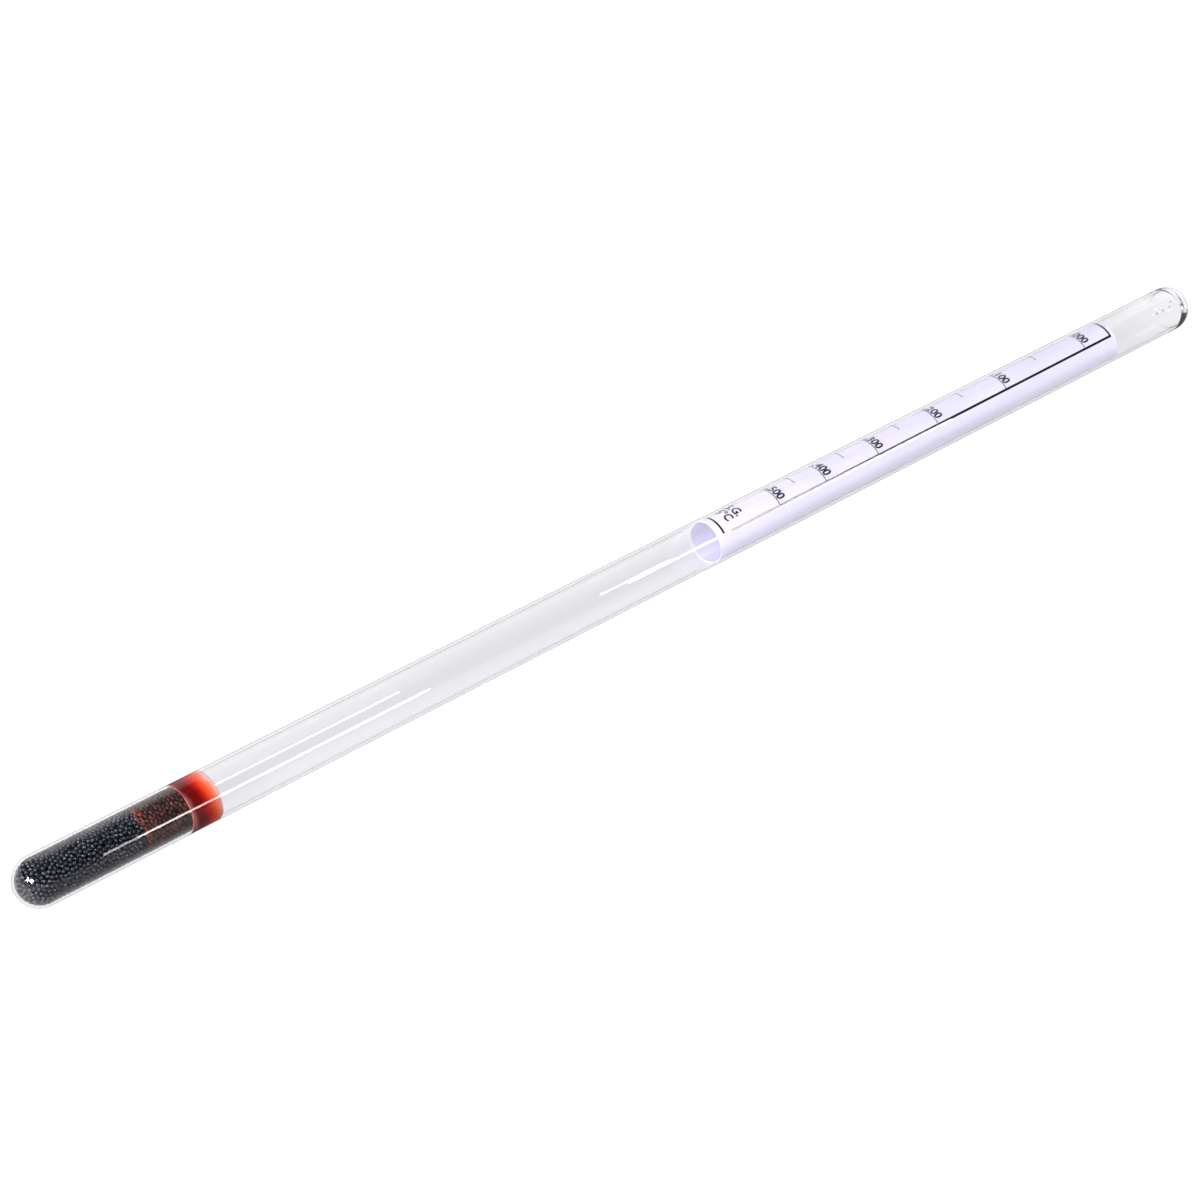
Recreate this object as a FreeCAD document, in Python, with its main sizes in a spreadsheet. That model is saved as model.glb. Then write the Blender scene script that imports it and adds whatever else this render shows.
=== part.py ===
import FreeCAD, Part
import math
import os
import Sketcher

# Straight float hydrometer: a sealed glass tube with shot and wax in one end and a rolled paper
# scale near the other. It lies along +X with the weighted tip at -X, and rests on z = 0.
# Each sub-part is drawn with its axis on its own X or Z axis, measured from the weighted tip.

DIMENSIONS = [
    # alias, millimetres or degrees, meaning
    ("tube_length", 300.0, "overall length of the glass"),
    ("tube_diameter", 9.25, "outside diameter of the glass"),
    ("wall_thickness", 0.40, "glass wall along the straight bore"),
    ("tip_thickness", 0.45, "glass at the bottom of the weighted tip"),
    ("seal_thickness", 1.30, "glass at the flame-sealed top"),
    ("seal_taper", 4.4, "length over which the bore closes at the top"),
    ("shot_top", 23.8, "height of the loose shot"),
    ("waxed_top", 33.2, "height of the shot that the wax soaked"),
    ("wax_rim", 39.5, "height of the wax where it meets the glass"),
    ("meniscus_depth", 1.4, "depth of the hollow in the wax"),
    ("paper_start", 158.5, "height of the paper's lower edge"),
    ("paper_length", 115.7, "length of the paper along the tube"),
    ("paper_thickness", 0.10, "thickness of the paper"),
    ("paper_clearance", 0.03, "gap between the roll and the bore"),
    ("lap_clearance", 0.02, "gap between the two turns where the paper overlaps"),
    ("lap_angle", 40.0, "angle over which the paper overlaps"),
    ("jog_angle", 3.0, "angle over which the paper steps under its own edge"),
    ("edge_gap_angle", 2.0, "gap between that step and the paper's outer edge"),
    ("seam_angle", 10.0, "where the seam lies, turned from straight down to the back"),
]

AXIS_Y, AXIS_Z = FreeCAD.Vector(0, 1, 0), FreeCAD.Vector(0, 0, 1)
START, END, CENTRE = 1, 2, 3
H_AXIS, ORIGIN = -1, (-1, 1)

RADIUS = "dims.tube_diameter / 2"
BORE = "(dims.tube_diameter / 2 - dims.wall_thickness)"
PAPER_OUTER = "(dims.tube_diameter / 2 - dims.wall_thickness - dims.paper_clearance)"


def make_sheet(doc):
    """The spreadsheet of driving dimensions."""
    sheet = doc.addObject("Spreadsheet::Sheet", "dims")
    for row, (alias, value, meaning) in enumerate(DIMENSIONS, start=1):
        sheet.set(f"A{row}", alias)
        sheet.set(f"B{row}", str(value))
        sheet.setAlias(f"B{row}", alias)
        sheet.set(f"C{row}", meaning)
    doc.recompute()
    return sheet


def tube_frame(sheet):
    """Placement of a sub-part drawn along X from the weighted tip."""
    return FreeCAD.Placement(
        FreeCAD.Vector(-sheet.tube_length / 2, 0, sheet.tube_diameter / 2), FreeCAD.Rotation()
    )


def new_body(doc, label, sheet):
    body = doc.addObject("PartDesign::Body", label)
    body.Label = label
    body.Placement = tube_frame(sheet)
    return body


def axial_sketch(body, name):
    """An empty sketch on the body's XZ plane, so that its horizontal axis is the tube's axis."""
    sketch = body.newObject("Sketcher::SketchObject", name)
    plane = next(f for f in body.Origin.OriginFeatures if f.Role == "XZ_Plane")
    sketch.AttachmentSupport = [(plane, "")]
    sketch.MapMode = "FlatFace"
    return sketch


def line(sketch, x0, y0, x1, y1):
    ends = FreeCAD.Vector(x0, y0, 0), FreeCAD.Vector(x1, y1, 0)
    return sketch.addGeometry(Part.LineSegment(*ends), False)


def arc(sketch, x, y, radius, start, end):
    """An arc about (x, y), counter-clockwise between two angles in degrees."""
    circle = Part.Circle(FreeCAD.Vector(x, y, 0), AXIS_Z, radius)
    piece = Part.ArcOfCircle(circle, math.radians(start), math.radians(end))
    return sketch.addGeometry(piece, False)


def tie(sketch, kind, *where):
    sketch.addConstraint(Sketcher.Constraint(kind, *where))


def drive(sketch, name, formula, kind, *where):
    """A dimension of the sketch that follows the sheet."""
    index = sketch.addConstraint(Sketcher.Constraint(kind, *where))
    sketch.renameConstraint(index, name)
    sketch.setExpression(f"Constraints.{name}", formula)


def revolve(body, kind, name, sketch):
    feature = body.newObject(kind, name)
    feature.Profile = sketch
    feature.ReferenceAxis = (sketch, ["H_Axis"])
    feature.Angle = 360
    sketch.Visibility = False
    body.Tip = feature
    return feature


def round_tip(sketch, centre_x, radius, centre_formula, radius_formula):
    """The quarter circle that closes a profile at the weighted tip, from the wall to the axis."""
    tip = arc(sketch, centre_x, 0, radius, 90, 180)
    tie(sketch, "PointOnObject", tip, CENTRE, H_AXIS)
    tie(sketch, "PointOnObject", tip, END, H_AXIS)
    drive(sketch, "tip_centre", centre_formula, "DistanceX", *ORIGIN, tip, CENTRE, centre_x)
    drive(sketch, "tip_radius", radius_formula, "Radius", tip, radius)
    return tip


def glass_tube(doc, sheet):
    """The envelope: a rod with two round ends, hollowed by a bore that closes to a blunt point."""
    body = new_body(doc, "glass_tube", sheet)
    length, radius = sheet.tube_length, sheet.tube_diameter / 2
    bore = radius - sheet.wall_thickness

    outside = axial_sketch(body, "outside")
    tip = round_tip(outside, radius, radius, RADIUS, RADIUS)
    top = arc(outside, length - radius, 0, radius, 0, 90)
    wall = line(outside, radius, radius, length - radius, radius)
    axis = line(outside, 0, 0, length, 0)
    tie(outside, "Tangent", wall, START, tip, START)
    tie(outside, "Tangent", wall, END, top, END)
    tie(outside, "Coincident", axis, START, tip, END)
    tie(outside, "Coincident", axis, END, top, START)
    tie(outside, "PointOnObject", top, CENTRE, H_AXIS)
    tie(outside, "PointOnObject", axis, END, H_AXIS)
    drive(outside, "length", "dims.tube_length", "DistanceX", *ORIGIN, axis, END, length)
    revolve(body, "PartDesign::Revolution", "rod", outside)

    inside = axial_sketch(body, "inside")
    centre_x = sheet.tip_thickness + bore
    taper_x = length - sheet.seal_thickness - sheet.seal_taper
    point_x = length - sheet.seal_thickness
    taper_radius = (sheet.seal_taper**2 + bore**2) / (2 * bore)
    taper_start = math.degrees(math.atan2(taper_radius - bore, sheet.seal_taper))
    tip = round_tip(inside, centre_x, bore, f"dims.tip_thickness + {BORE}", BORE)
    wall = line(inside, centre_x, bore, taper_x, bore)
    taper = arc(inside, taper_x, bore - taper_radius, taper_radius, taper_start, 90)
    axis = line(inside, sheet.tip_thickness, 0, point_x, 0)
    tie(inside, "Tangent", wall, START, tip, START)
    tie(inside, "Tangent", wall, END, taper, END)
    tie(inside, "Coincident", axis, START, tip, END)
    tie(inside, "Coincident", axis, END, taper, START)
    tie(inside, "PointOnObject", axis, END, H_AXIS)
    taper_formula = "dims.tube_length - dims.seal_thickness - dims.seal_taper"
    point_formula = "dims.tube_length - dims.seal_thickness"
    drive(inside, "taper", taper_formula, "DistanceX", *ORIGIN, wall, END, taper_x)
    drive(inside, "point", point_formula, "DistanceX", *ORIGIN, axis, END, point_x)
    revolve(body, "PartDesign::Groove", "bore", inside)
    return body


def ballast_shot(doc, sheet):
    """The loose shot as one charge: it fills the round tip and ends in a level top."""
    body = new_body(doc, "ballast_shot", sheet)
    bore = sheet.tube_diameter / 2 - sheet.wall_thickness
    centre_x = sheet.tip_thickness + bore
    outline = axial_sketch(body, "charge_outline")
    tip = round_tip(outline, centre_x, bore, f"dims.tip_thickness + {BORE}", BORE)
    wall = line(outline, centre_x, bore, sheet.shot_top, bore)
    top = line(outline, sheet.shot_top, bore, sheet.shot_top, 0)
    axis = line(outline, sheet.shot_top, 0, sheet.tip_thickness, 0)
    tie(outline, "Tangent", wall, START, tip, START)
    tie(outline, "Coincident", wall, END, top, START)
    tie(outline, "Coincident", top, END, axis, START)
    tie(outline, "Coincident", axis, END, tip, END)
    tie(outline, "Vertical", top)
    tie(outline, "PointOnObject", axis, START, H_AXIS)
    drive(outline, "fill", "dims.shot_top", "DistanceX", *ORIGIN, axis, START, sheet.shot_top)
    revolve(body, "PartDesign::Revolution", "charge", outline)
    return body


def waxed_shot(doc, sheet):
    """The shot that the wax soaked: a plain disc-ended cylinder that fills the bore."""
    layer = doc.addObject("Part::Cylinder", "waxed_shot")
    layer.Label = "waxed_shot"
    layer.setExpression("Radius", BORE)
    layer.setExpression("Height", "dims.waxed_top - dims.shot_top")
    base = FreeCAD.Placement(FreeCAD.Vector(sheet.shot_top, 0, 0), FreeCAD.Rotation(AXIS_Y, 90))
    layer.Placement = tube_frame(sheet).multiply(base)
    return layer


def wax_plug(doc, sheet):
    """The clear wax: it stands on the soaked shot and its top is hollowed to a spherical cup."""
    body = new_body(doc, "wax_plug", sheet)
    bore, depth = sheet.tube_diameter / 2 - sheet.wall_thickness, sheet.meniscus_depth
    cup_radius = (bore**2 + depth**2) / (2 * depth)
    cup_start = 180 - math.degrees(math.asin(bore / cup_radius))
    cup_x = sheet.wax_rim - depth
    outline = axial_sketch(body, "plug_outline")
    floor = line(outline, sheet.waxed_top, 0, sheet.waxed_top, bore)
    wall = line(outline, sheet.waxed_top, bore, sheet.wax_rim, bore)
    cup = arc(outline, cup_x + cup_radius, 0, cup_radius, cup_start, 180)
    axis = line(outline, cup_x, 0, sheet.waxed_top, 0)
    tie(outline, "Coincident", floor, END, wall, START)
    tie(outline, "Coincident", wall, END, cup, START)
    tie(outline, "Coincident", cup, END, axis, START)
    tie(outline, "Coincident", axis, END, floor, START)
    tie(outline, "Vertical", floor)
    tie(outline, "Horizontal", wall)
    tie(outline, "PointOnObject", axis, START, H_AXIS)
    tie(outline, "PointOnObject", axis, END, H_AXIS)
    tie(outline, "PointOnObject", cup, CENTRE, H_AXIS)
    cup_formula = "dims.wax_rim - dims.meniscus_depth"
    drive(outline, "foot", "dims.waxed_top", "DistanceX", *ORIGIN, floor, START, sheet.waxed_top)
    drive(outline, "rim", "dims.wax_rim", "DistanceX", *ORIGIN, wall, END, sheet.wax_rim)
    drive(outline, "cup", cup_formula, "DistanceX", *ORIGIN, axis, START, cup_x)
    drive(outline, "bore", BORE, "DistanceY", *ORIGIN, floor, END, bore)
    revolve(body, "PartDesign::Revolution", "plug", outline)
    return body


def paper_arc(doc, name, outer, inner, sweep, turned=None):
    """A curved strip of the roll: a cylinder wedge less the wedge inside it."""
    solid = doc.addObject("Part::Cylinder", f"{name}_outside")
    hollow = doc.addObject("Part::Cylinder", f"{name}_inside")
    for cylinder, radius in ((solid, outer), (hollow, inner)):
        cylinder.setExpression("Radius", radius)
        cylinder.setExpression("Height", "dims.paper_length")
    solid.setExpression("Angle", sweep)
    strip = doc.addObject("Part::Cut", name)
    strip.Base, strip.Tool = solid, hollow
    if turned:
        strip.setExpression("Placement.Rotation.Angle", turned)
    return strip


def scale_paper(doc, sheet):
    """The scale: a sheet rolled once round inside the bore, stepping in under its own edge."""
    step = "(dims.paper_thickness + dims.lap_clearance)"
    outer_inside = f"{PAPER_OUTER} - dims.paper_thickness"
    lap_outside = f"{PAPER_OUTER} - {step}"
    lap_inside = f"{lap_outside} - dims.paper_thickness"
    turn = paper_arc(doc, "full_turn", PAPER_OUTER, outer_inside, "360 - dims.edge_gap_angle")
    jog = paper_arc(doc, "step", PAPER_OUTER, lap_inside, "dims.jog_angle")
    lap_sweep = "dims.lap_angle + dims.jog_angle"
    lap = paper_arc(doc, "lap", lap_outside, lap_inside, lap_sweep, "-dims.lap_angle")
    roll = doc.addObject("Part::MultiFuse", "scale_paper")
    roll.Label = "scale_paper"
    roll.Shapes = [turn, jog, lap]
    along = FreeCAD.Placement(FreeCAD.Vector(sheet.paper_start, 0, 0), FreeCAD.Rotation(AXIS_Y, 90))
    seam = FreeCAD.Placement(FreeCAD.Vector(), FreeCAD.Rotation(AXIS_Z, sheet.seam_angle))
    roll.Placement = tube_frame(sheet).multiply(along).multiply(seam)
    return roll


def check(doc, parts):
    """Stops on a failed object or a bad shape, so that nothing wrong is written."""
    for item in doc.Objects:
        if any(word in item.State for word in ("Invalid", "Error")):
            raise RuntimeError(f"{item.Name} failed: {item.State}")
    for part in parts:
        shape = part.Shape
        if shape.isNull() or not shape.isValid() or len(shape.Solids) != 1:
            raise RuntimeError(f"{part.Label} is not one sound solid")
        print(f"{part.Label}: {shape.Volume:.1f} mm3, box {shape.BoundBox}")


def main():
    os.makedirs("parts", exist_ok=True)
    doc = FreeCAD.newDocument("hydrometer")
    sheet = make_sheet(doc)
    makers = (glass_tube, ballast_shot, waxed_shot, wax_plug, scale_paper)
    parts = [make(doc, sheet) for make in makers]
    doc.recompute()
    check(doc, parts)
    for part in parts:
        part.Shape.exportStep(os.path.join("parts", f"{part.Label}.step"))


main()
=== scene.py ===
import math

import bmesh
import bpy
import numpy as np
from mathutils import Matrix, Vector


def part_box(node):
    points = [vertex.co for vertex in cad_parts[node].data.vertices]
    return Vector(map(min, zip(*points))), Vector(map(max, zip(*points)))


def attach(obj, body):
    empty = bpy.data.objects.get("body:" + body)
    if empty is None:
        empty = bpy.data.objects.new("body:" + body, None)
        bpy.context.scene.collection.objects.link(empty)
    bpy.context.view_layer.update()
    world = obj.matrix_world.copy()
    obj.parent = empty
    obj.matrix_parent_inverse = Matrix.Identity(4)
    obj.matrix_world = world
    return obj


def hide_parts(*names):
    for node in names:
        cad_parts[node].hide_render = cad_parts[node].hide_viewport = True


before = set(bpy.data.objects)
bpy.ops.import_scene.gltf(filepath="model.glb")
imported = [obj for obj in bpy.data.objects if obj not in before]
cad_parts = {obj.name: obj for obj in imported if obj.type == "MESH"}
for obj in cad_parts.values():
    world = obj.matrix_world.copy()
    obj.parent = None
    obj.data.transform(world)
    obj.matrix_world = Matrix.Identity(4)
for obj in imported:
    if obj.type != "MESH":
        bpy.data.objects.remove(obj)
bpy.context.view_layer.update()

# A float hydrometer lying on a pale table: a sealed glass tube holding steel shot under red wax
# at one end and a rolled paper scale near the other. The tube lies along X, weighted tip at -X.
# Lengths are metres. "Height" is the distance along the tube from the weighted tip.

MM = 0.001

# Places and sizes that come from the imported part.
tube_low, tube_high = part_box("glass_tube")
shot_low, shot_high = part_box("ballast_shot")
paper_low, paper_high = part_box("scale_paper")
TIP_X = tube_low.x
LENGTH = tube_high.x - tube_low.x
RADIUS = (tube_high.z - tube_low.z) / 2
AXIS_Z = (tube_high.z + tube_low.z) / 2
BORE = (shot_high.z - shot_low.z) / 2
TIP_GLASS = shot_low.x - tube_low.x
SHOT_TOP = shot_high.x - TIP_X
WAXED_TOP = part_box("waxed_shot")[1].x - TIP_X
WAX_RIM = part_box("wax_plug")[1].x - TIP_X
PAPER_START = paper_low.x - TIP_X
PAPER_END = paper_high.x - TIP_X
PAPER_RADIUS = (paper_high.z - paper_low.z) / 2

# Sizes that the boxes can't give: the closed end of the bore, the hollow in the wax, the sheet
# and how it laps under itself, and the shot. Angles are in degrees throughout.
SEAL_GLASS = 1.3 * MM
SEAL_TAPER = 4.4 * MM
MENISCUS = 1.4 * MM
PAPER_THICKNESS = 0.10 * MM
LAP_STEP = 0.12 * MM
LAP_ANGLE = 40.0
JOG_ANGLE = 3.0
SEAM_ANGLE = 260.0
BEAD_RADIUS = 0.40 * MM

# Points round a turned surface.
AROUND = 128


def place(height, radius, angle):
    """The point at a height, a distance from the axis, and an angle turned up from the front (-Y)."""
    a = np.radians(angle)
    x, y, z = TIP_X + height, -radius * np.cos(a), AXIS_Z + radius * np.sin(a)
    return np.stack(np.broadcast_arrays(x, y, z), -1)


# ---------------------------------------------------------------- meshes


def add_mesh(name, verts, faces, material, smooth=True):
    """A piece from points and faces."""
    mesh = bpy.data.meshes.new(name)
    mesh.from_pydata([tuple(v) for v in verts], [], faces)
    return add_piece(name, mesh, material, smooth)


def add_piece(name, mesh, material, smooth=True):
    """An object from a finished mesh, riding on the one body, with the given material."""
    mesh.validate()
    mesh.materials.clear()
    mesh.materials.append(material)
    if smooth:
        mesh.shade_smooth()
    else:
        mesh.shade_flat()
    piece = bpy.data.objects.new(name, mesh)
    bpy.context.scene.collection.objects.link(piece)
    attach(piece, "root")
    return piece


def turned(profile, wobble, inward=False, around=AROUND):
    """Points and faces of a surface turned about the tube's axis from (height, radius) pairs.

    The first and last pairs are on the axis. wobble(height, angle) multiplies each radius."""
    angles = np.arange(around) * 360.0 / around
    verts = [place(profile[0][0], 0.0, 0.0)]
    for height, radius in profile[1:-1]:
        verts.extend(place(height, radius * wobble(height, angles), angles))
    verts.append(place(profile[-1][0], 0.0, 0.0))
    rings = len(profile) - 2
    ahead = [(i + 1) % around for i in range(around)]
    last = len(verts) - 1
    faces = [(0, 1 + i, 1 + ahead[i]) for i in range(around)]
    for ring in range(rings - 1):
        a, b = 1 + ring * around, 1 + (ring + 1) * around
        faces += [(a + i, b + i, b + ahead[i], a + ahead[i]) for i in range(around)]
    end = 1 + (rings - 1) * around
    faces += [(last, end + ahead[i], end + i) for i in range(around)]
    if inward:
        faces = [tuple(reversed(face)) for face in faces]
    return verts, faces


def still(height, angle):
    """No wobble: a true surface of revolution."""
    return np.ones_like(angle)


def drawn_glass(height, angle):
    """The faint unevenness of hand-drawn tube."""
    a = np.radians(angle)
    along = 0.0010 * math.sin(height / (23 * MM)) + 0.0007 * math.sin(height / (9 * MM) + 1.3)
    return 1 + along * np.cos(2 * a + height / (60 * MM)) - 0.0010


def dome(centre, radius, start, end, steps=24):
    """(height, radius) pairs on a quarter circle, angles measured from straight ahead along X."""
    return [
        (centre + radius * math.cos(math.radians(t)), radius * math.sin(math.radians(t)))
        for t in np.linspace(start, end, steps)
    ]


def run(start, end, radius, steps):
    """(height, radius) pairs along a straight length, without its first."""
    return [(height, radius) for height in np.linspace(start, end, steps + 1)[1:]]


# ---------------------------------------------------------------- materials


class Shader:
    """A node material, with short calls for the nodes that the materials here share."""

    def __init__(self, name, **settings):
        self.material = bpy.data.materials.new(name)
        self.material.use_nodes = True
        self.nodes = self.material.node_tree.nodes
        self.links = self.material.node_tree.links
        self.bsdf = self.nodes["Principled BSDF"]
        self.output = self.nodes["Material Output"]
        for key, value in settings.items():
            self.bsdf.inputs[key.replace("_", " ")].default_value = value
        self.coords = self.nodes.new("ShaderNodeTexCoord").outputs["Object"]

    def join(self, source, node, socket):
        self.links.new(source, node.inputs[socket])

    def noise(self, per_mm, detail=3.0):
        """Cloudy noise, 0..1, with about per_mm blotches in a millimetre."""
        node = self.nodes.new("ShaderNodeTexNoise")
        node.inputs["Scale"].default_value = per_mm / MM
        node.inputs["Detail"].default_value = detail
        node.inputs["Roughness"].default_value = 0.55
        self.join(self.coords, node, "Vector")
        return node.outputs["Fac"]

    def cells(self, per_mm):
        """Rounded cells like packed beads: the distance from each cell's centre."""
        node = self.nodes.new("ShaderNodeTexVoronoi")
        node.inputs["Scale"].default_value = per_mm / MM
        self.join(self.coords, node, "Vector")
        return node.outputs["Distance"]

    def ramp(self, source, stops):
        """A colour ramp through (place, colour) pairs."""
        node = self.nodes.new("ShaderNodeValToRGB")
        elements = node.color_ramp.elements
        while len(elements) < len(stops):
            elements.new(0.5)
        for element, (where, colour) in zip(elements, stops):
            element.position = where
            element.color = (*colour, 1.0)
        self.join(source, node, "Fac")
        return node.outputs["Color"]

    def between(self, source, low, high):
        """A value mapped from 0..1 onto low..high."""
        node = self.nodes.new("ShaderNodeMapRange")
        node.inputs["To Min"].default_value = low
        node.inputs["To Max"].default_value = high
        self.join(source, node, "Value")
        return node.outputs["Result"]

    def along(self, axis, start, end):
        """0 at one place to 1 at another, along X from the tip or along Y or Z from the tube's axis."""
        zero = {"X": TIP_X, "Y": 0.0, "Z": AXIS_Z}[axis]
        split = self.nodes.new("ShaderNodeSeparateXYZ")
        self.join(self.coords, split, "Vector")
        node = self.nodes.new("ShaderNodeMapRange")
        node.inputs["From Min"].default_value = zero + start
        node.inputs["From Max"].default_value = zero + end
        self.join(split.outputs[axis], node, "Value")
        return node.outputs["Result"]

    def math(self, operation, first, second, clamp=True):
        """Two values or sockets joined by a Math node, held to 0..1 unless clamp is off."""
        node = self.nodes.new("ShaderNodeMath")
        node.operation = operation
        node.use_clamp = clamp
        for index, value in enumerate((first, second)):
            if isinstance(value, bpy.types.NodeSocket):
                self.links.new(value, node.inputs[index])
            else:
                node.inputs[index].default_value = value
        return node.outputs[0]

    def colour(self, source):
        self.join(source, self.bsdf, "Base Color")

    def rough(self, source):
        self.join(source, self.bsdf, "Roughness")

    def bump(self, source, depth, strength=1.0):
        node = self.nodes.new("ShaderNodeBump")
        node.inputs["Distance"].default_value = depth
        node.inputs["Strength"].default_value = strength
        self.join(source, node, "Height")
        self.join(node.outputs["Normal"], self.bsdf, "Normal")

    def lets_lamps_through(self, tint):
        """Glass whose shadow is only faintly tinted, as thin clear glass has."""
        path = self.nodes.new("ShaderNodeLightPath")
        clear = self.nodes.new("ShaderNodeBsdfTransparent")
        clear.inputs["Color"].default_value = (*tint, 1.0)
        mix = self.nodes.new("ShaderNodeMixShader")
        self.links.new(path.outputs["Is Shadow Ray"], mix.inputs["Fac"])
        self.links.new(self.bsdf.outputs["BSDF"], mix.inputs[1])
        self.links.new(clear.outputs["BSDF"], mix.inputs[2])
        self.links.new(mix.outputs["Shader"], self.output.inputs["Surface"])


def glass_material():
    """Clear drawn glass, a touch lavender, with a faint draw ripple."""
    lavender = (0.962, 0.954, 0.978, 1)
    s = Shader("clear_glass", Base_Color=lavender, Roughness=0.0, IOR=1.49, Transmission_Weight=1.0)
    s.bump(s.noise(0.25, detail=1.0), 0.003 * MM, 0.2)
    s.lets_lamps_through((0.97, 0.965, 0.985))
    return s.material


def bead_material():
    """Blue-black steel shot: a dark oxide skin, rubbed brighter in places."""
    s = Shader("blued_steel_shot", Metallic=0.9, Roughness=0.3)
    s.colour(s.ramp(s.noise(0.9, detail=4.0), [
        (0.35, (0.034, 0.038, 0.048)),
        (0.68, (0.105, 0.112, 0.132)),
    ]))
    s.rough(s.between(s.noise(3.0), 0.23, 0.36))
    s.bump(s.noise(7.0, detail=4.0), 0.008 * MM, 0.25)
    return s.material


def waxed_bead_material():
    """The same shot under a film of red wax that wets it to the glass."""
    s = Shader("waxed_steel_shot", Metallic=0.5, Roughness=0.45, Specular_IOR_Level=0.05)
    s.colour(s.ramp(s.noise(0.8, detail=5.0), [
        (0.36, (0.020, 0.014, 0.013)),
        (0.56, (0.062, 0.034, 0.028)),
        (0.70, (0.085, 0.038, 0.030)),
        (0.82, (0.26, 0.055, 0.030)),
    ]))
    s.rough(s.between(s.noise(2.5), 0.35, 0.6))
    s.bump(s.noise(5.0, detail=4.0), 0.02 * MM, 0.4)
    return s.material


def core_material():
    """The shadowed inside of the charge."""
    s = Shader("shot_in_shadow", Roughness=0.8)
    beads = s.cells(1.2)
    s.colour(s.ramp(beads, [(0.1, (0.020, 0.021, 0.026)), (0.6, (0.004, 0.004, 0.006))]))
    s.bump(beads, 0.15 * MM, 0.8)
    return s.material


def matrix_material():
    """Wax that ran down between the beads: brown-red, with brighter flecks and a red lower edge."""
    s = Shader("wax_between_shot", Roughness=0.5, Specular_IOR_Level=0.05)
    flecks = s.noise(1.1, detail=6.0)
    edge = s.between(s.along("X", SHOT_TOP + 1.1 * MM, SHOT_TOP + 0.3 * MM), 0.0, 0.20)
    s.colour(s.ramp(s.math("ADD", flecks, edge), [
        (0.45, (0.014, 0.006, 0.005)),
        (0.60, (0.050, 0.016, 0.011)),
        (0.76, (0.32, 0.055, 0.035)),
    ]))
    s.rough(s.between(s.noise(3.0), 0.4, 0.65))
    s.bump(s.noise(2.5, detail=5.0), 0.05 * MM, 0.5)
    return s.material


def wax_material():
    """Red wax: deep red in the mass; towards its rim, where it thins, orange is painted for light shining
    through it and then pink is painted for a reflection.
    """
    s = Shader("red_wax", Roughness=0.4, Specular_IOR_Level=0.05, Subsurface_Weight=0.2)
    s.bsdf.inputs["Subsurface Scale"].default_value = 0.8 * MM
    s.bsdf.inputs["Subsurface Radius"].default_value = (1.0, 0.25, 0.12)
    cloud = s.between(s.noise(0.35, detail=3.0), -0.10, 0.10)
    # Painted light: the orange and pink of the rim reach further down on the upper side of the plug.
    upper = s.between(s.along("Z", -BORE, BORE), -0.11, 0.07)
    uneven = s.math("ADD", cloud, upper, clamp=False)
    rise = s.math("ADD", s.along("X", WAXED_TOP, WAX_RIM), uneven)
    # Stops up to 0.58 are the wax's own reds, the first two a pinkish band at the foot; from 0.76 on they
    # are painted light: orange through thin wax, pink as a reflection.
    s.colour(s.ramp(rise, [
        (0.00, (0.30, 0.10, 0.095)),
        (0.07, (0.20, 0.04, 0.04)),
        (0.17, (0.09, 0.003, 0.003)),
        (0.40, (0.15, 0.001, 0.001)),
        (0.58, (0.38, 0.010, 0.004)),
        (0.76, (0.60, 0.075, 0.022)),
        (0.90, (0.68, 0.20, 0.14)),
        (1.00, (0.74, 0.42, 0.40)),
    ]))
    s.rough(s.between(s.noise(1.5), 0.3, 0.5))
    s.bump(s.noise(0.8, detail=4.0), 0.03 * MM, 0.3)
    return s.material


def paper_material():
    """Smooth lavender-white paper with a fine fibre grain."""
    s = Shader("scale_paper", Roughness=0.75, Subsurface_Weight=0.4, Subsurface_Scale=0.4 * MM)
    s.bsdf.inputs["Subsurface Radius"].default_value = (1.0, 1.0, 1.0)
    s.colour(s.ramp(s.noise(1.8, detail=6.0), [
        (0.30, (0.722, 0.698, 0.855)),
        (0.70, (0.762, 0.740, 0.880)),
    ]))
    s.rough(s.between(s.noise(6.0), 0.65, 0.85))
    s.bump(s.noise(14.0, detail=5.0), 0.006 * MM, 0.4)
    return s.material


def ink_material(name, dark, light):
    """Printing ink that has sunk a little unevenly into the paper."""
    s = Shader(name, Roughness=0.6, Specular_IOR_Level=0.1)
    s.colour(s.ramp(s.noise(9.0, detail=4.0), [(0.35, dark), (0.75, light)]))
    s.rough(s.between(s.noise(12.0), 0.5, 0.75))
    s.bump(s.noise(12.0, detail=3.0), 0.003 * MM, 0.3)
    return s.material


# ---------------------------------------------------------------- glass


def inner_profile():
    """The bore: a round tip, a straight run, and a rounded end under the thicker seal."""
    point = LENGTH - SEAL_GLASS
    taper = point - SEAL_TAPER
    curve = (SEAL_TAPER**2 + BORE**2) / (2 * BORE)
    tip = dome(TIP_GLASS + BORE, BORE, 180, 90)
    straight = run(TIP_GLASS + BORE, taper, BORE, 120)
    close = [
        (taper + curve * math.sin(t), BORE - curve + curve * math.cos(t))
        for t in np.linspace(0, math.asin(SEAL_TAPER / curve), 30)[1:-1]
    ]
    return tip + straight + close + [(point, 0.0)]


def outer_profile():
    """The outside: two round ends and the straight tube between them."""
    tip = dome(RADIUS, RADIUS, 180, 90)
    straight = run(RADIUS, LENGTH - RADIUS, RADIUS, 120)
    return tip + straight + dome(LENGTH - RADIUS, RADIUS, 90, 0)[1:]


def bubble(height, radius, angle, size, stretch):
    """A seed in the glass: a tiny void, drawn out along the tube."""
    bm = bmesh.new()
    bmesh.ops.create_icosphere(bm, subdivisions=3, radius=size)
    centre = Matrix.Translation(Vector(place(height, radius, angle)))
    drawn_out = Matrix.Diagonal((stretch, 1, 1, 1))
    bmesh.ops.transform(bm, verts=bm.verts, matrix=centre @ drawn_out)
    verts = [v.co.copy() for v in bm.verts]
    faces = [tuple(reversed([v.index for v in f.verts])) for f in bm.faces]
    bm.free()
    return verts, faces


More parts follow.
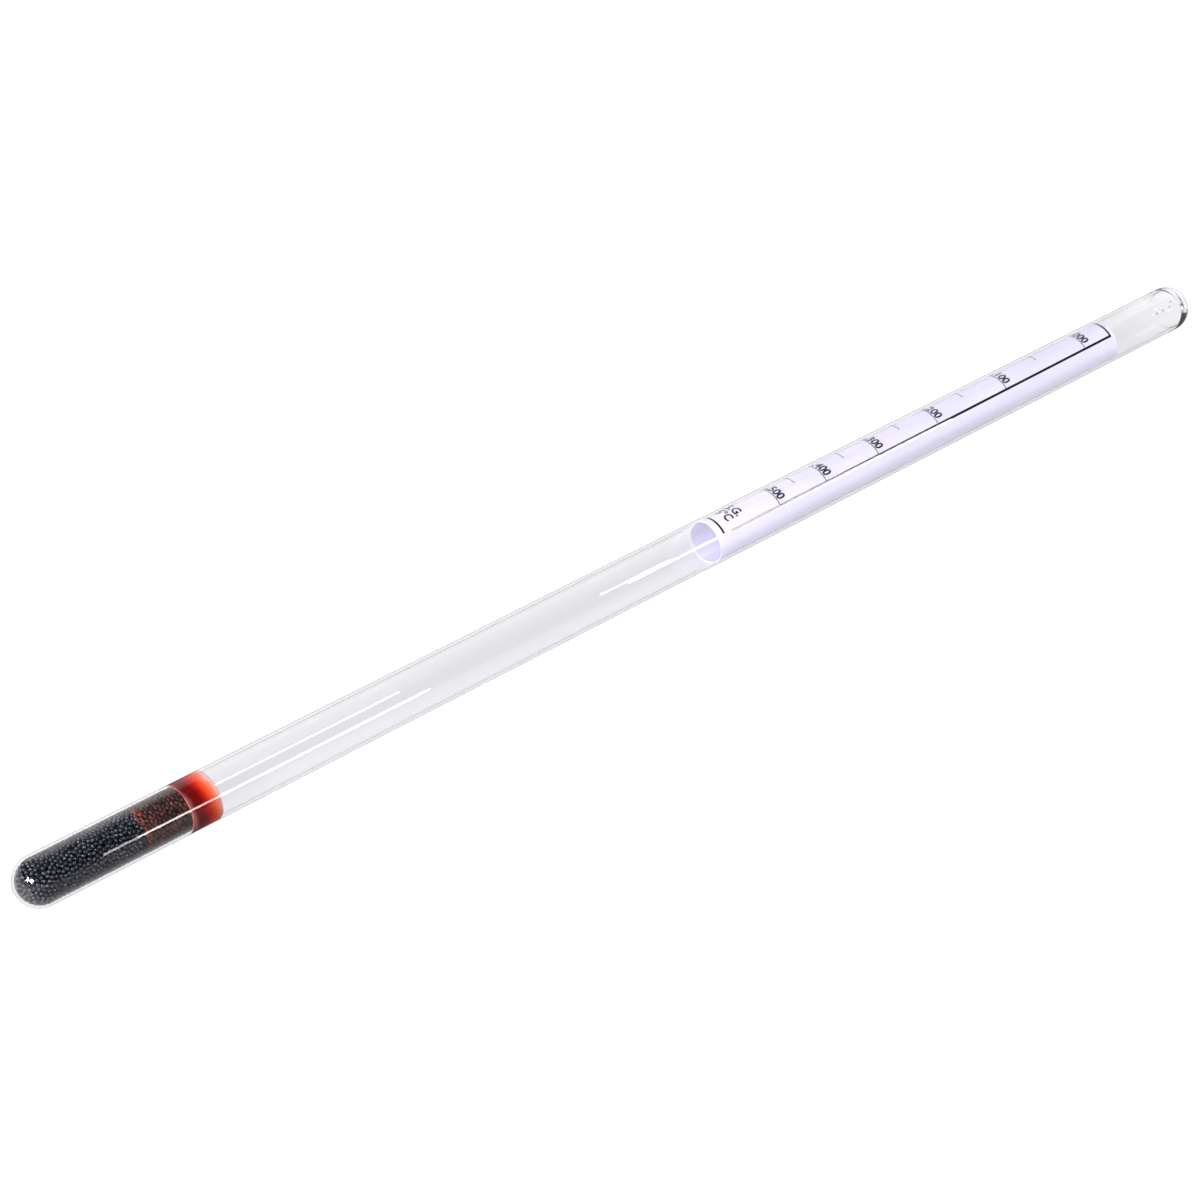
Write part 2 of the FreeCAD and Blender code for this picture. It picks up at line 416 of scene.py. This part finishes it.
SEEDS = [
    # height below the end, distance from the axis, angle, size, stretch
    (12.1 * MM, 4.425 * MM, 42, 0.185 * MM, 1.2),
    (10.2 * MM, 4.425 * MM, 42, 0.165 * MM, 1.2),
    (7.9 * MM, 4.425 * MM, 43, 0.165 * MM, 1.1),
    (6.9 * MM, 4.425 * MM, 54, 0.150 * MM, 1.6),
    (4.4 * MM, 4.32 * MM, 33, 0.240 * MM, 1.4),
]


def make_glass():
    """The envelope: one mesh of the outside, the bore turned inward, and the seeds."""
    verts, faces = turned(outer_profile(), drawn_glass)
    shells = [turned(inner_profile(), drawn_glass, inward=True)]
    shells += [bubble(LENGTH - down, *rest) for down, *rest in SEEDS]
    for more_verts, more_faces in shells:
        base = len(verts)
        verts = list(verts) + list(more_verts)
        faces += [tuple(base + i for i in face) for face in more_faces]
    glass = add_mesh("glass_envelope", verts, faces, glass_material())
    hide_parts("glass_tube")


# ---------------------------------------------------------------- shot


# How full of beads the layers are, and how far a bead starts from an even pattern.
WALL_FILL = 0.79
INNER_FILL = 0.76
JITTER = 0.42


def on_wall(points, layer, top):
    """Moves points onto the layer of bead centres that line the bore, below a height."""
    centre = TIP_GLASS + BORE
    points[:, 0] = np.minimum(points[:, 0], top)
    out = points.copy()
    out[:, 0] = np.minimum(points[:, 0] - centre, 0.0)
    out *= layer / np.maximum(np.linalg.norm(out, axis=1), 1e-9)[:, None]
    out[:, 0] += np.maximum(points[:, 0], centre)
    return out


def pack_layer(layer, top, spacing, fill, seed, rounds=140):
    """Bead centres on one layer, pushed apart until they touch like poured shot.

    They start in rings round the straight bore and in a spiral over the round tip. Points are
    (height, across, up) from the tip, on the axis."""
    rng = np.random.default_rng(seed)
    centre = TIP_GLASS + BORE
    disc = math.pi * spacing**2 / 4
    ring = int(2 * math.pi * layer / spacing)
    count = int(fill * 2 * math.pi * layer * (top - centre) / disc)
    index = np.arange(count)
    rows = index // ring
    angle = (index % ring + 0.5 * (rows % 2)) * 2 * math.pi / ring
    height = centre + (top - centre) * (rows + 0.5) / (count / ring)
    straight = np.stack([height, layer * np.cos(angle), layer * np.sin(angle)], 1)
    index = np.arange(int(fill * 2 * math.pi * layer**2 / disc)) + 0.5
    drop = index / len(index)
    angle = index * math.pi * (3 - math.sqrt(5))
    flat = np.sqrt(1 - drop**2)
    tip = layer * np.stack([-drop, flat * np.cos(angle), flat * np.sin(angle)], 1)
    points = np.concatenate([straight, tip + [centre, 0, 0]])
    points += rng.normal(0, spacing * JITTER, points.shape)
    points = on_wall(points, layer, top)
    for _ in range(rounds):
        points = points[np.argsort(points[:, 0])]
        push = np.zeros_like(points)
        for offset in range(1, min(2 * ring + 6, len(points))):
            gap = points[offset:] - points[:-offset]
            length = np.maximum(np.linalg.norm(gap, axis=1), 1e-9)
            move = np.maximum(spacing - length, 0.0) * 0.45
            step = gap / length[:, None] * move[:, None]
            push[offset:] += step
            push[:-offset] -= step
        points = on_wall(points + push, layer, top)
    return points


def bead_shape(detail):
    """The points and triangles of a ball of radius 1."""
    bm = bmesh.new()
    bmesh.ops.create_icosphere(bm, subdivisions=detail, radius=1.0)
    verts = np.array([v.co for v in bm.verts])
    faces = np.array([[v.index for v in f.verts] for f in bm.faces])
    bm.free()
    return verts, faces


def bead_mesh(name, centres, detail, seed):
    """One mesh of many beads, each a little out of round and turned at random."""
    rng = np.random.default_rng(seed)
    shape, corners = bead_shape(detail)
    count = len(centres)
    size = BEAD_RADIUS * rng.uniform(0.95, 1.01, count)
    stretch = 1 + rng.normal(0, 0.02, (count, 3))
    turn = rng.normal(size=(count, 3, 3))
    turn = np.linalg.qr(turn)[0]
    turn[:, :, 0] *= np.sign(np.linalg.det(turn))[:, None]
    local = np.einsum("nij,nvj->nvi", turn, shape[None] * stretch[:, None, :]) * size[:, None, None]
    world = centres + np.array([TIP_X, 0.0, AXIS_Z])
    verts = (local + world[:, None, :]).reshape(-1, 3)
    faces = (corners[None] + (np.arange(count) * len(shape))[:, None, None]).reshape(-1, 3)
    mesh = bpy.data.meshes.new(name)
    mesh.vertices.add(len(verts))
    mesh.vertices.foreach_set("co", verts.astype(np.float32).ravel())
    mesh.loops.add(faces.size)
    mesh.loops.foreach_set("vertex_index", faces.astype(np.int32).ravel())
    mesh.polygons.add(len(faces))
    mesh.polygons.foreach_set("loop_start", np.arange(0, faces.size, 3, dtype=np.int32))
    mesh.update(calc_edges=True)
    return mesh


def make_shot():
    """Beads against the glass, a coarser layer behind them, and the dark heart of the charge."""
    spacing = 2 * BEAD_RADIUS
    top = WAXED_TOP - BEAD_RADIUS
    wall = pack_layer(BORE - BEAD_RADIUS, top, spacing, WALL_FILL, seed=11)
    inner = pack_layer(BORE - 2.65 * BEAD_RADIUS, top, spacing, INNER_FILL, seed=12)
    ragged = SHOT_TOP + 0.35 * MM * np.sin(np.arctan2(wall[:, 2], wall[:, 1]) * 3 + 1)
    dry = wall[:, 0] < ragged
    in_tip = wall[:, 0] < SHOT_TOP / 2
    steel, waxed = bead_material(), waxed_bead_material()

    def beads(name, centres, detail, seed, slot, material):
        return add_piece(name, bead_mesh(name, centres, detail, seed), material)

    beads("shot_tip", wall[dry & in_tip], 3, 21, "steel_shot", steel)
    body = beads("shot_body", wall[dry & ~in_tip], 3, 22, "steel_shot", steel)
    beads("shot_behind", inner[inner[:, 0] < SHOT_TOP], 2, 23, "steel_shot", steel)
    soaked = beads("waxed_beads", wall[~dry], 3, 24, "waxed_shot", waxed)
    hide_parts("ballast_shot")
    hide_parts("waxed_shot")

    heart = BORE - 3.4 * BEAD_RADIUS
    profile = dome(TIP_GLASS + BORE, heart, 180, 90, 12) + run(TIP_GLASS + BORE, SHOT_TOP, heart, 20)
    verts, faces = turned(profile + [(SHOT_TOP, 0.0)], still, around=48)
    add_mesh("shot_heart", verts, faces, core_material())


# ---------------------------------------------------------------- wax


def ragged_edge(angle):
    """The uneven line to which the wax ran down the shot, in millimetres."""
    a = np.radians(angle)
    return 0.35 * np.sin(3 * a + 1.0) + 0.20 * np.sin(7 * a + 2.0) + 0.12 * np.sin(13 * a)


def make_wax():
    """The wax between the soaked beads, and the clear plug with its hollow top."""
    rng = np.random.default_rng(31)
    lumps = rng.uniform(0, 2 * math.pi, 6)

    def between_beads(height, angle):
        a = np.radians(angle)
        ripple = 0.0
        for k in range(4):
            ripple = ripple + math.sin(height / (0.31 * MM) + lumps[k]) * np.cos((9 + 3 * k) * a + lumps[-k])
        return 1 + 0.008 * ripple

    reach = BORE - 0.42 * BEAD_RADIUS
    profile = [(SHOT_TOP, 0.0)] + [(SHOT_TOP, reach * f) for f in (0.4, 0.8, 0.97)]
    profile += run(SHOT_TOP, WAXED_TOP, reach, 70)
    profile += [(WAXED_TOP, 0.0)]
    verts, faces = turned(profile, between_beads, around=180)
    edge = np.array(verts)
    low = edge[:, 0] < TIP_X + SHOT_TOP + 0.05 * MM
    angle = np.degrees(np.arctan2(edge[:, 2] - AXIS_Z, -edge[:, 1]))
    edge[low, 0] += ragged_edge(angle[low]) * MM
    add_mesh("wax_matrix", edge, faces, matrix_material())

    wall = BORE + 0.02 * MM
    base = WAXED_TOP - 0.1 * MM
    foot = [(base, 0.0), (base, wall * 0.6), (base, wall)]
    rise = run(base, WAX_RIM, wall, 30)
    cup = [(WAX_RIM - MENISCUS * (1 - f**2), wall * f) for f in np.linspace(1, 0, 24)[1:]]
    verts, faces = turned(foot + rise + cup, still)
    points = np.array(verts)
    a = np.arctan2(points[:, 2] - AXIS_Z, -points[:, 1])
    upper = np.clip((points[:, 0] - TIP_X - WAXED_TOP) / (WAX_RIM - WAXED_TOP), 0, 1)
    dips = 0.12 * np.abs(np.sin(1.5 * a + 0.4)) + 0.05 * np.sin(5 * a) + 0.05
    points[:, 0] -= upper * dips * MM
    plug = add_mesh("wax_plug_body", points, faces, wax_material())
    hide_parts("wax_plug")


# ---------------------------------------------------------------- paper and print


def make_paper():
    """The scale sheet: rolled once round, stepping in under its own edge and lapping beneath."""
    turn = np.linspace(SEAM_ANGLE - 358, SEAM_ANGLE, 300)
    beneath = np.linspace(SEAM_ANGLE, SEAM_ANGLE + JOG_ANGLE, 6)[1:]
    lap = np.linspace(SEAM_ANGLE + JOG_ANGLE, SEAM_ANGLE + LAP_ANGLE, 36)[1:]
    angles = np.concatenate([turn, beneath, lap])
    step = np.clip((angles - SEAM_ANGLE) / JOG_ANGLE, 0, 1)
    outer = PAPER_RADIUS - LAP_STEP * step
    along = np.linspace(0, 1, 90)
    count = len(angles)
    verts = []
    for face_radius in (outer, outer - PAPER_THICKNESS):
        for f in along:
            trim = 0.03 * MM * np.sin(np.radians(angles) * 2 + 1) * (2 * f - 1)
            height = PAPER_START + f * (PAPER_END - PAPER_START) - np.abs(trim) * np.sign(f - 0.5)
            verts.extend(place(height, face_radius, angles))
    inside = count * len(along)
    faces = []
    for row in range(len(along) - 1):
        a, b = row * count, (row + 1) * count
        for i in range(count - 1):
            faces.append((a + i, b + i, b + i + 1, a + i + 1))
            faces.append((inside + a + i, inside + a + i + 1, inside + b + i + 1, inside + b + i))
        for i, flip in ((0, False), (count - 1, True)):
            side = (a + i, inside + a + i, inside + b + i, b + i)
            faces.append(tuple(reversed(side)) if flip else side)
    last = (len(along) - 1) * count
    for i in range(count - 1):
        faces.append((i, i + 1, inside + i + 1, inside + i))
        faces.append((last + i, inside + last + i, inside + last + i + 1, last + i + 1))
    paper = add_mesh("paper_roll", verts, faces, paper_material())
    paper.data.set_sharp_from_angle(angle=math.radians(40))
    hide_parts("scale_paper")


# The frame's right border and the two margins are angles turned up from the front, at the
# paper's upper end. The sheet is rolled askew by TWIST degrees for each metre below that end.
INK_RADIUS = PAPER_RADIUS + 0.008 * MM
INK_THICKNESS = 0.006 * MM
RIGHT_BORDER = 45.0
FRAME_WIDTH = 15.0 * MM
BORDER_LINE = 0.47 * MM
FINE_LINE = 0.21 * MM
TEXT_MARGIN = 60.0
HEADING_MARGIN = 71.0
TWIST = 0.065 / MM

# The type: height of its capitals, that height as a share of the font's size, how much bolder it
# is drawn, how far it is narrowed, and how finely it is cut so that it can bend.
CAP_HEIGHT = 2.0 * MM
CAP_SHARE = 0.729
TYPE_WEIGHT = 0.08 * MM
TYPE_SQUEEZE = 0.80
TYPE_CUT = 0.2 * MM

# A float sinks until it pushes aside its own weight, so a mark's height is a length over the
# density it stands for, and the marks crowd towards the tip.
FLOAT_LENGTH = 29.13 * 2 * RADIUS
SCALE_ZERO = -0.46 * 2 * RADIUS


def mark_height(density):
    """The height of the mark that stands at the surface in a liquid of this density."""
    return FLOAT_LENGTH / density + SCALE_ZERO


def flat_strip(left, right, low, high, pieces):
    """A printed rectangle on the flat sheet, cut into narrow pieces so that it can bend."""
    across = np.linspace(left, right, pieces + 1)
    verts = [(a, b) for a in across for b in (low, high)]
    faces = [(2 * i, 2 * i + 2, 2 * i + 3, 2 * i + 1) for i in range(pieces)]
    return verts, faces


def flat_text(body):
    """The outline of some type on the flat sheet, with its left end at zero, cut so it can bend."""
    curve = bpy.data.curves.new("type", "FONT")
    curve.body = body
    curve.size = CAP_HEIGHT / CAP_SHARE
    curve.offset = TYPE_WEIGHT
    curve.resolution_u = 6
    letter = bpy.data.objects.new("type", curve)
    mesh = bpy.data.meshes.new_from_object(letter)
    bpy.data.objects.remove(letter)
    bpy.data.curves.remove(curve)
    bm = bmesh.new()
    bm.from_mesh(mesh)
    bpy.data.meshes.remove(mesh)
    for v in bm.verts:
        v.co.x *= TYPE_SQUEEZE
    wide = max(v.co.x for v in bm.verts)
    for cut in np.arange(TYPE_CUT, wide, TYPE_CUT):
        geometry = bm.verts[:] + bm.edges[:] + bm.faces[:]
        bmesh.ops.bisect_plane(bm, geom=geometry, plane_co=(cut, 0, 0), plane_no=(1, 0, 0))
    bmesh.ops.triangulate(bm, faces=bm.faces[:])
    bm.verts.index_update()
    verts = [(v.co.x, v.co.y) for v in bm.verts]
    faces = [tuple(v.index for v in f.verts) for f in bm.faces]
    bm.free()
    return verts, faces, wide


class Print:
    """Flat printing wrapped onto the paper: across is the arc towards the left border."""

    def __init__(self):
        self.verts, self.faces = [], []

    def add(self, verts, faces, right_angle, height, flip):
        """Wraps flat points: across from an angle, and along from a height."""
        base = len(self.verts)
        for a, b in verts:
            askew = TWIST * (PAPER_END - height - b)
            angle = right_angle - askew + math.degrees(a / INK_RADIUS)
            self.verts.append(place(height + b, INK_RADIUS, angle))
        self.faces += [tuple(base + i for i in (reversed(f) if flip else f)) for f in faces]

    def strip(self, low, high, left_mm, right_mm, height, pieces):
        """A bar from one arc distance to another, left of the right border."""
        self.add(*flat_strip(left_mm, right_mm, low, high, pieces), RIGHT_BORDER, height, True)

    def text(self, body, height, margin):
        """A line of type whose right end is on a margin."""
        verts, faces, wide = flat_text(body)
        self.add([(wide - a, b) for a, b in verts], faces, margin, height, False)

    def piece(self, name, material):
        """Everything added so far, as one piece of raised ink."""
        piece = add_mesh(name, self.verts, self.faces, material, smooth=False)
        thick = piece.modifiers.new("ink", "SOLIDIFY")
        thick.thickness = INK_THICKNESS
        thick.offset = 1.0


def make_print():
    """The frame, the graduations from 1.000 to 1.500, their numerals, and the two-line heading."""
    black = ink_material("black_ink", (0.003, 0.003, 0.006), (0.010, 0.010, 0.016))
    grey = ink_material("thin_ink", (0.02, 0.02, 0.03), (0.06, 0.058, 0.08))
    low = PAPER_START + 1.5 * MM
    high = PAPER_END - 0.9 * MM
    half = BORDER_LINE / 2
    inner_edge, outer_edge = FRAME_WIDTH - half, FRAME_WIDTH + half

    border = Print()
    border.strip(0, high - low, -half, half, low, 2)
    border.strip(0, high - low, inner_edge, outer_edge, low, 2)
    border.strip(0, BORDER_LINE, half, inner_edge, low, 80)
    border.strip(-BORDER_LINE, 0, half, inner_edge, high, 80)
    border.piece("print_frame", black)

    lines, ticks, figures = Print(), Print(), Print()
    tick_start = math.radians(82 - RIGHT_BORDER) * INK_RADIUS
    for tenth in range(6):
        height = mark_height(1 + tenth / 10)
        lines.strip(-FINE_LINE / 2, FINE_LINE / 2, half, inner_edge, height, 80)
        figures.text(f"1.{tenth}00", height + 0.35 * MM, TEXT_MARGIN)
        if tenth < 5:
            middle = mark_height(1.05 + tenth / 10)
            ticks.strip(-FINE_LINE / 2, FINE_LINE / 2, tick_start, inner_edge, middle, 50)
    heading = mark_height(1.5) - 10.3 * MM
    figures.text("S.G.", heading, HEADING_MARGIN)
    figures.text("15°C", heading - 2.6 * MM, HEADING_MARGIN)
    lines.piece("print_lines", grey)
    ticks.piece("print_ticks", grey)
    figures.piece("print_figures", black)


# ---------------------------------------------------------------- studio

CAMERA_AZIMUTH = -43.5
CAMERA_ELEVATION = 32.35
CAMERA_DISTANCE = 0.669
CAMERA_LENS = 109.0
SENSOR = 36.0
AIM_X = -0.0625 * LENGTH
AIM_BELOW = 0.7 * MM


def direction(azimuth, elevation):
    """A unit vector, turned from the front (-Y) towards -X and then up."""
    a, e = math.radians(azimuth), math.radians(elevation)
    return Vector((math.sin(a) * math.cos(e), -math.cos(a) * math.cos(e), math.sin(e)))


def make_camera():
    """The camera at the photograph's angle. Returns where it stands."""
    data = bpy.data.cameras.new("camera")
    data.lens, data.sensor_width = CAMERA_LENS, SENSOR
    camera = bpy.data.objects.new("camera", data)
    bpy.context.scene.collection.objects.link(camera)
    back = direction(CAMERA_AZIMUTH, CAMERA_ELEVATION)
    turn = (-back).to_track_quat("-Z", "Y")
    up = turn @ Vector((0, 1, 0))
    camera.rotation_mode = "QUATERNION"
    camera.rotation_quaternion = turn
    camera.location = Vector((AIM_X, 0, AXIS_Z)) - up * AIM_BELOW + back * CAMERA_DISTANCE
    bpy.context.scene.camera = camera
    return camera.location.copy()


def reflected_light(name, eye, low, high, angle, spread, radiance, away=0.5):
    """A strip lamp seen by the eye as a line along the tube, reflected between two heights.

    angle is the lamp's direction round the tube, and spread its angular width."""
    across = math.hypot(eye.y, eye.z - AXIS_Z)
    ends = [x + away * (x - eye.x) / across for x in (TIP_X + low, TIP_X + high)]
    data = bpy.data.lights.new(name, "AREA")
    data.shape = "RECTANGLE"
    data.size = ends[1] - ends[0]
    data.size_y = away * math.radians(spread)
    data.energy = radiance * math.pi * data.size * data.size_y
    lamp = bpy.data.objects.new(name, data)
    bpy.context.scene.collection.objects.link(lamp)
    a = math.radians(angle)
    outward = Vector((0, -math.cos(a), math.sin(a)))
    lamp.location = Vector(((ends[0] + ends[1]) / 2, 0, AXIS_Z)) + outward * away
    side = Vector((1, 0, 0))
    lamp.rotation_mode = "QUATERNION"
    lamp.rotation_quaternion = Matrix((side, outward.cross(side), outward)).transposed().to_quaternion()
    lamp.visible_camera = False


def way_seen_on_tip(eye, along, across):
    """The direction of a lamp that the eye sees as a spot on the round tip, at offsets in radii."""
    back = (eye - Vector((TIP_X + RADIUS, 0, AXIS_Z))).normalized()
    ahead = (Vector((1, 0, 0)) - back * back.x).normalized()
    down = ahead.cross(back)
    normal = back * math.sqrt(1 - along**2 - across**2) + ahead * along + down * across
    return normal * 2 * normal.dot(back) - back


def round_lamp(name, way, size, radiance, away=0.7):
    """A round lamp in a given direction from the weighted tip, facing it."""
    data = bpy.data.lights.new(name, "AREA")
    data.shape = "DISK"
    data.size = size
    data.energy = radiance * math.pi * math.pi * size**2 / 4
    lamp = bpy.data.objects.new(name, data)
    bpy.context.scene.collection.objects.link(lamp)
    way = Vector(way).normalized()
    lamp.location = Vector((TIP_X + RADIUS, 0, AXIS_Z)) + way * away
    lamp.rotation_mode = "QUATERNION"
    lamp.rotation_quaternion = way.to_track_quat("Z", "Y")
    lamp.visible_camera = False
    return lamp


def make_world():
    """A dim room with a white backdrop, a paler band low down and a bright side beyond the sealed
    end, darker in front. The camera itself sees plain white."""
    world = bpy.data.worlds.new("room")
    bpy.context.scene.world = world
    world.use_nodes = True
    nodes, links = world.node_tree.nodes, world.node_tree.links
    nodes.clear()
    coords = nodes.new("ShaderNodeTexCoord")

    def ramp_towards(way, stops):
        """A grey that depends on how nearly a direction points one way: 0 opposite, 1 straight at it."""
        dot = nodes.new("ShaderNodeVectorMath")
        dot.operation = "DOT_PRODUCT"
        dot.inputs[1].default_value = Vector(way).normalized()
        links.new(coords.outputs["Generated"], dot.inputs[0])
        spread = nodes.new("ShaderNodeMapRange")
        spread.inputs["From Min"].default_value = -1.0
        links.new(dot.outputs["Value"], spread.inputs["Value"])
        ramp = nodes.new("ShaderNodeValToRGB")
        while len(ramp.color_ramp.elements) < len(stops):
            ramp.color_ramp.elements.new(0.5)
        for element, (where, value) in zip(ramp.color_ramp.elements, stops):
            element.position = where
            element.color = (value, value, value, 1.0)
        links.new(spread.outputs["Result"], ramp.inputs["Fac"])
        return ramp.outputs["Color"]

    def blended(kind, first, second):
        """Two colours mixed in full by a blend type."""
        mix = nodes.new("ShaderNodeMix")
        mix.data_type, mix.blend_type = "RGBA", kind
        sockets = {socket.name: socket for socket in mix.inputs if socket.enabled}
        sockets["Factor"].default_value = 1.0
        links.new(first, sockets["A"])
        links.new(second, sockets["B"])
        return next(socket for socket in mix.outputs if socket.enabled)

    backdrop = ramp_towards((0.60, 0.75, 0.15), [(0.85, 0.07), (0.94, 0.78)])
    skirting = ramp_towards((0, 0, 1), [(0.60, 0.64), (0.65, 0.07)])
    dim = ramp_towards((0.58, -0.72, 0.38), [(0.80, 1.0), (0.88, 0.15)])
    side = ramp_towards((1, 0, 0.1), [(0.86, 0.0), (0.93, 1.2)])
    around = blended("LIGHTEN", blended("LIGHTEN", backdrop, skirting), side)
    grey = blended("MULTIPLY", around, dim)
    room, seen = nodes.new("ShaderNodeBackground"), nodes.new("ShaderNodeBackground")
    links.new(grey, room.inputs["Color"])
    seen.inputs["Color"].default_value = (1, 1, 1, 1)
    path, choice = nodes.new("ShaderNodeLightPath"), nodes.new("ShaderNodeMixShader")
    links.new(path.outputs["Is Camera Ray"], choice.inputs["Fac"])
    links.new(room.outputs["Background"], choice.inputs[1])
    links.new(seen.outputs["Background"], choice.inputs[2])
    links.new(choice.outputs["Shader"], nodes.new("ShaderNodeOutputWorld").inputs["Surface"])


def make_floor():
    """A lit white table, as glass is photographed on, with a soft shadow painted into its glow under and
    behind the tube.

    It lights the scene less than it shows, because a table this white would wash the glass out. It
    is dimmed where it is mirrored by the outside of the glass, or in front of the tube, or by the
    shot and paper inside (four walls or more crossed), and where matte surfaces scatter it."""
    s = Shader("white_table", Base_Color=(0.03, 0.03, 0.03, 1), Roughness=0.6)
    s.bsdf.inputs["Emission Color"].default_value = (1, 1, 1, 1)
    path = s.nodes.new("ShaderNodeLightPath")
    walls = path.outputs["Transmission Depth"]
    outside = s.math("SUBTRACT", 1.0, walls)
    through = s.math("SUBTRACT", walls, 3.0)
    short_of_end = s.along("X", LENGTH - 2 * MM, LENGTH - 12 * MM)
    through = s.math("MULTIPLY", through, short_of_end)
    in_front = s.along("Y", -4 * MM, -9 * MM)
    dimmed = s.math("ADD", s.math("ADD", outside, through), in_front)
    dimmed = s.math("MULTIPLY", dimmed, path.outputs["Glossy Depth"])
    mirrored = s.between(dimmed, 1.03, 0.16)
    scattered = s.between(path.outputs["Diffuse Depth"], 1.0, 0.70)
    lit = s.math("MULTIPLY", mirrored, scattered, clamp=False)
    # Painted shadow: the table's glow is darkened by up to 13.5 percent in a band from under the tube to 11
    # mm behind it, strongest 4 to 7 mm behind, cut to the tube's length.
    shadow = s.ramp(s.along("Y", -6 * MM, 16 * MM), [
        (0.10, (0.0, 0.0, 0.0)),
        (0.30, (0.3, 0.3, 0.3)),
        (0.46, (1.0, 1.0, 1.0)),
        (0.58, (0.9, 0.9, 0.9)),
        (0.78, (0.0, 0.0, 0.0)),
    ])
    shadow = s.math("MULTIPLY", shadow, s.along("X", -4 * MM, 4 * MM))
    shadow = s.math("MULTIPLY", shadow, s.along("X", LENGTH - 4 * MM, LENGTH - 20 * MM))
    lit = s.math("MULTIPLY", lit, s.between(shadow, 1.0, 0.865), clamp=False)
    s.join(lit, s.bsdf, "Emission Strength")
    s.bump(s.noise(0.2), 0.01 * MM, 0.1)
    half = 12.0
    z = tube_low.z - 0.02 * MM
    corners = [(-half, -half, z), (half, -half, z), (half, half, z), (-half, half, z)]
    mesh = bpy.data.meshes.new("table")
    mesh.from_pydata(corners, [], [(0, 1, 2, 3)])
    mesh.materials.append(s.material)
    table = bpy.data.objects.new("table", mesh)
    bpy.context.scene.collection.objects.link(table)


def make_studio():
    """The camera, room, table, the strips seen as lines along the tube, and the spots on its tip."""
    eye = make_camera()
    make_world()
    make_floor()
    reflected_light("strip_start", eye, 15 * MM, 22 * MM, 14.3, 9, 5)
    reflected_light("strip_front", eye, 22 * MM, 86 * MM, 14.3, 9, 14)
    reflected_light("strip_low", eye, 135 * MM, 162 * MM, 36, 10, 10)
    reflected_light("strip_mid", eye, 160 * MM, 196 * MM, 34, 13, 11)
    reflected_light("strip_high", eye, 195 * MM, 224 * MM, 34.5, 11, 11)
    round_lamp("lamp_left", way_seen_on_tip(eye, -0.36, -0.21), 0.18, 60)
    round_lamp("lamp_right", way_seen_on_tip(eye, -0.25, -0.10), 0.18, 60)
    over = round_lamp("lamp_over", (0.1, 0.2, 0.97), 0.5, 1.8, away=0.9)
    over.visible_glossy = over.visible_transmission = False
    scene = bpy.context.scene
    scene.view_settings.view_transform = "Standard"
    scene.cycles.use_denoising = True
    scene.cycles.max_bounces = 24
    scene.cycles.transmission_bounces = 20
    scene.cycles.transparent_max_bounces = 16
    scene.cycles.glossy_bounces = 6
    scene.cycles.diffuse_bounces = 4
    scene.cycles.sample_clamp_indirect = 6.0


make_studio()
make_glass()
make_shot()
make_wax()
make_paper()
make_print()
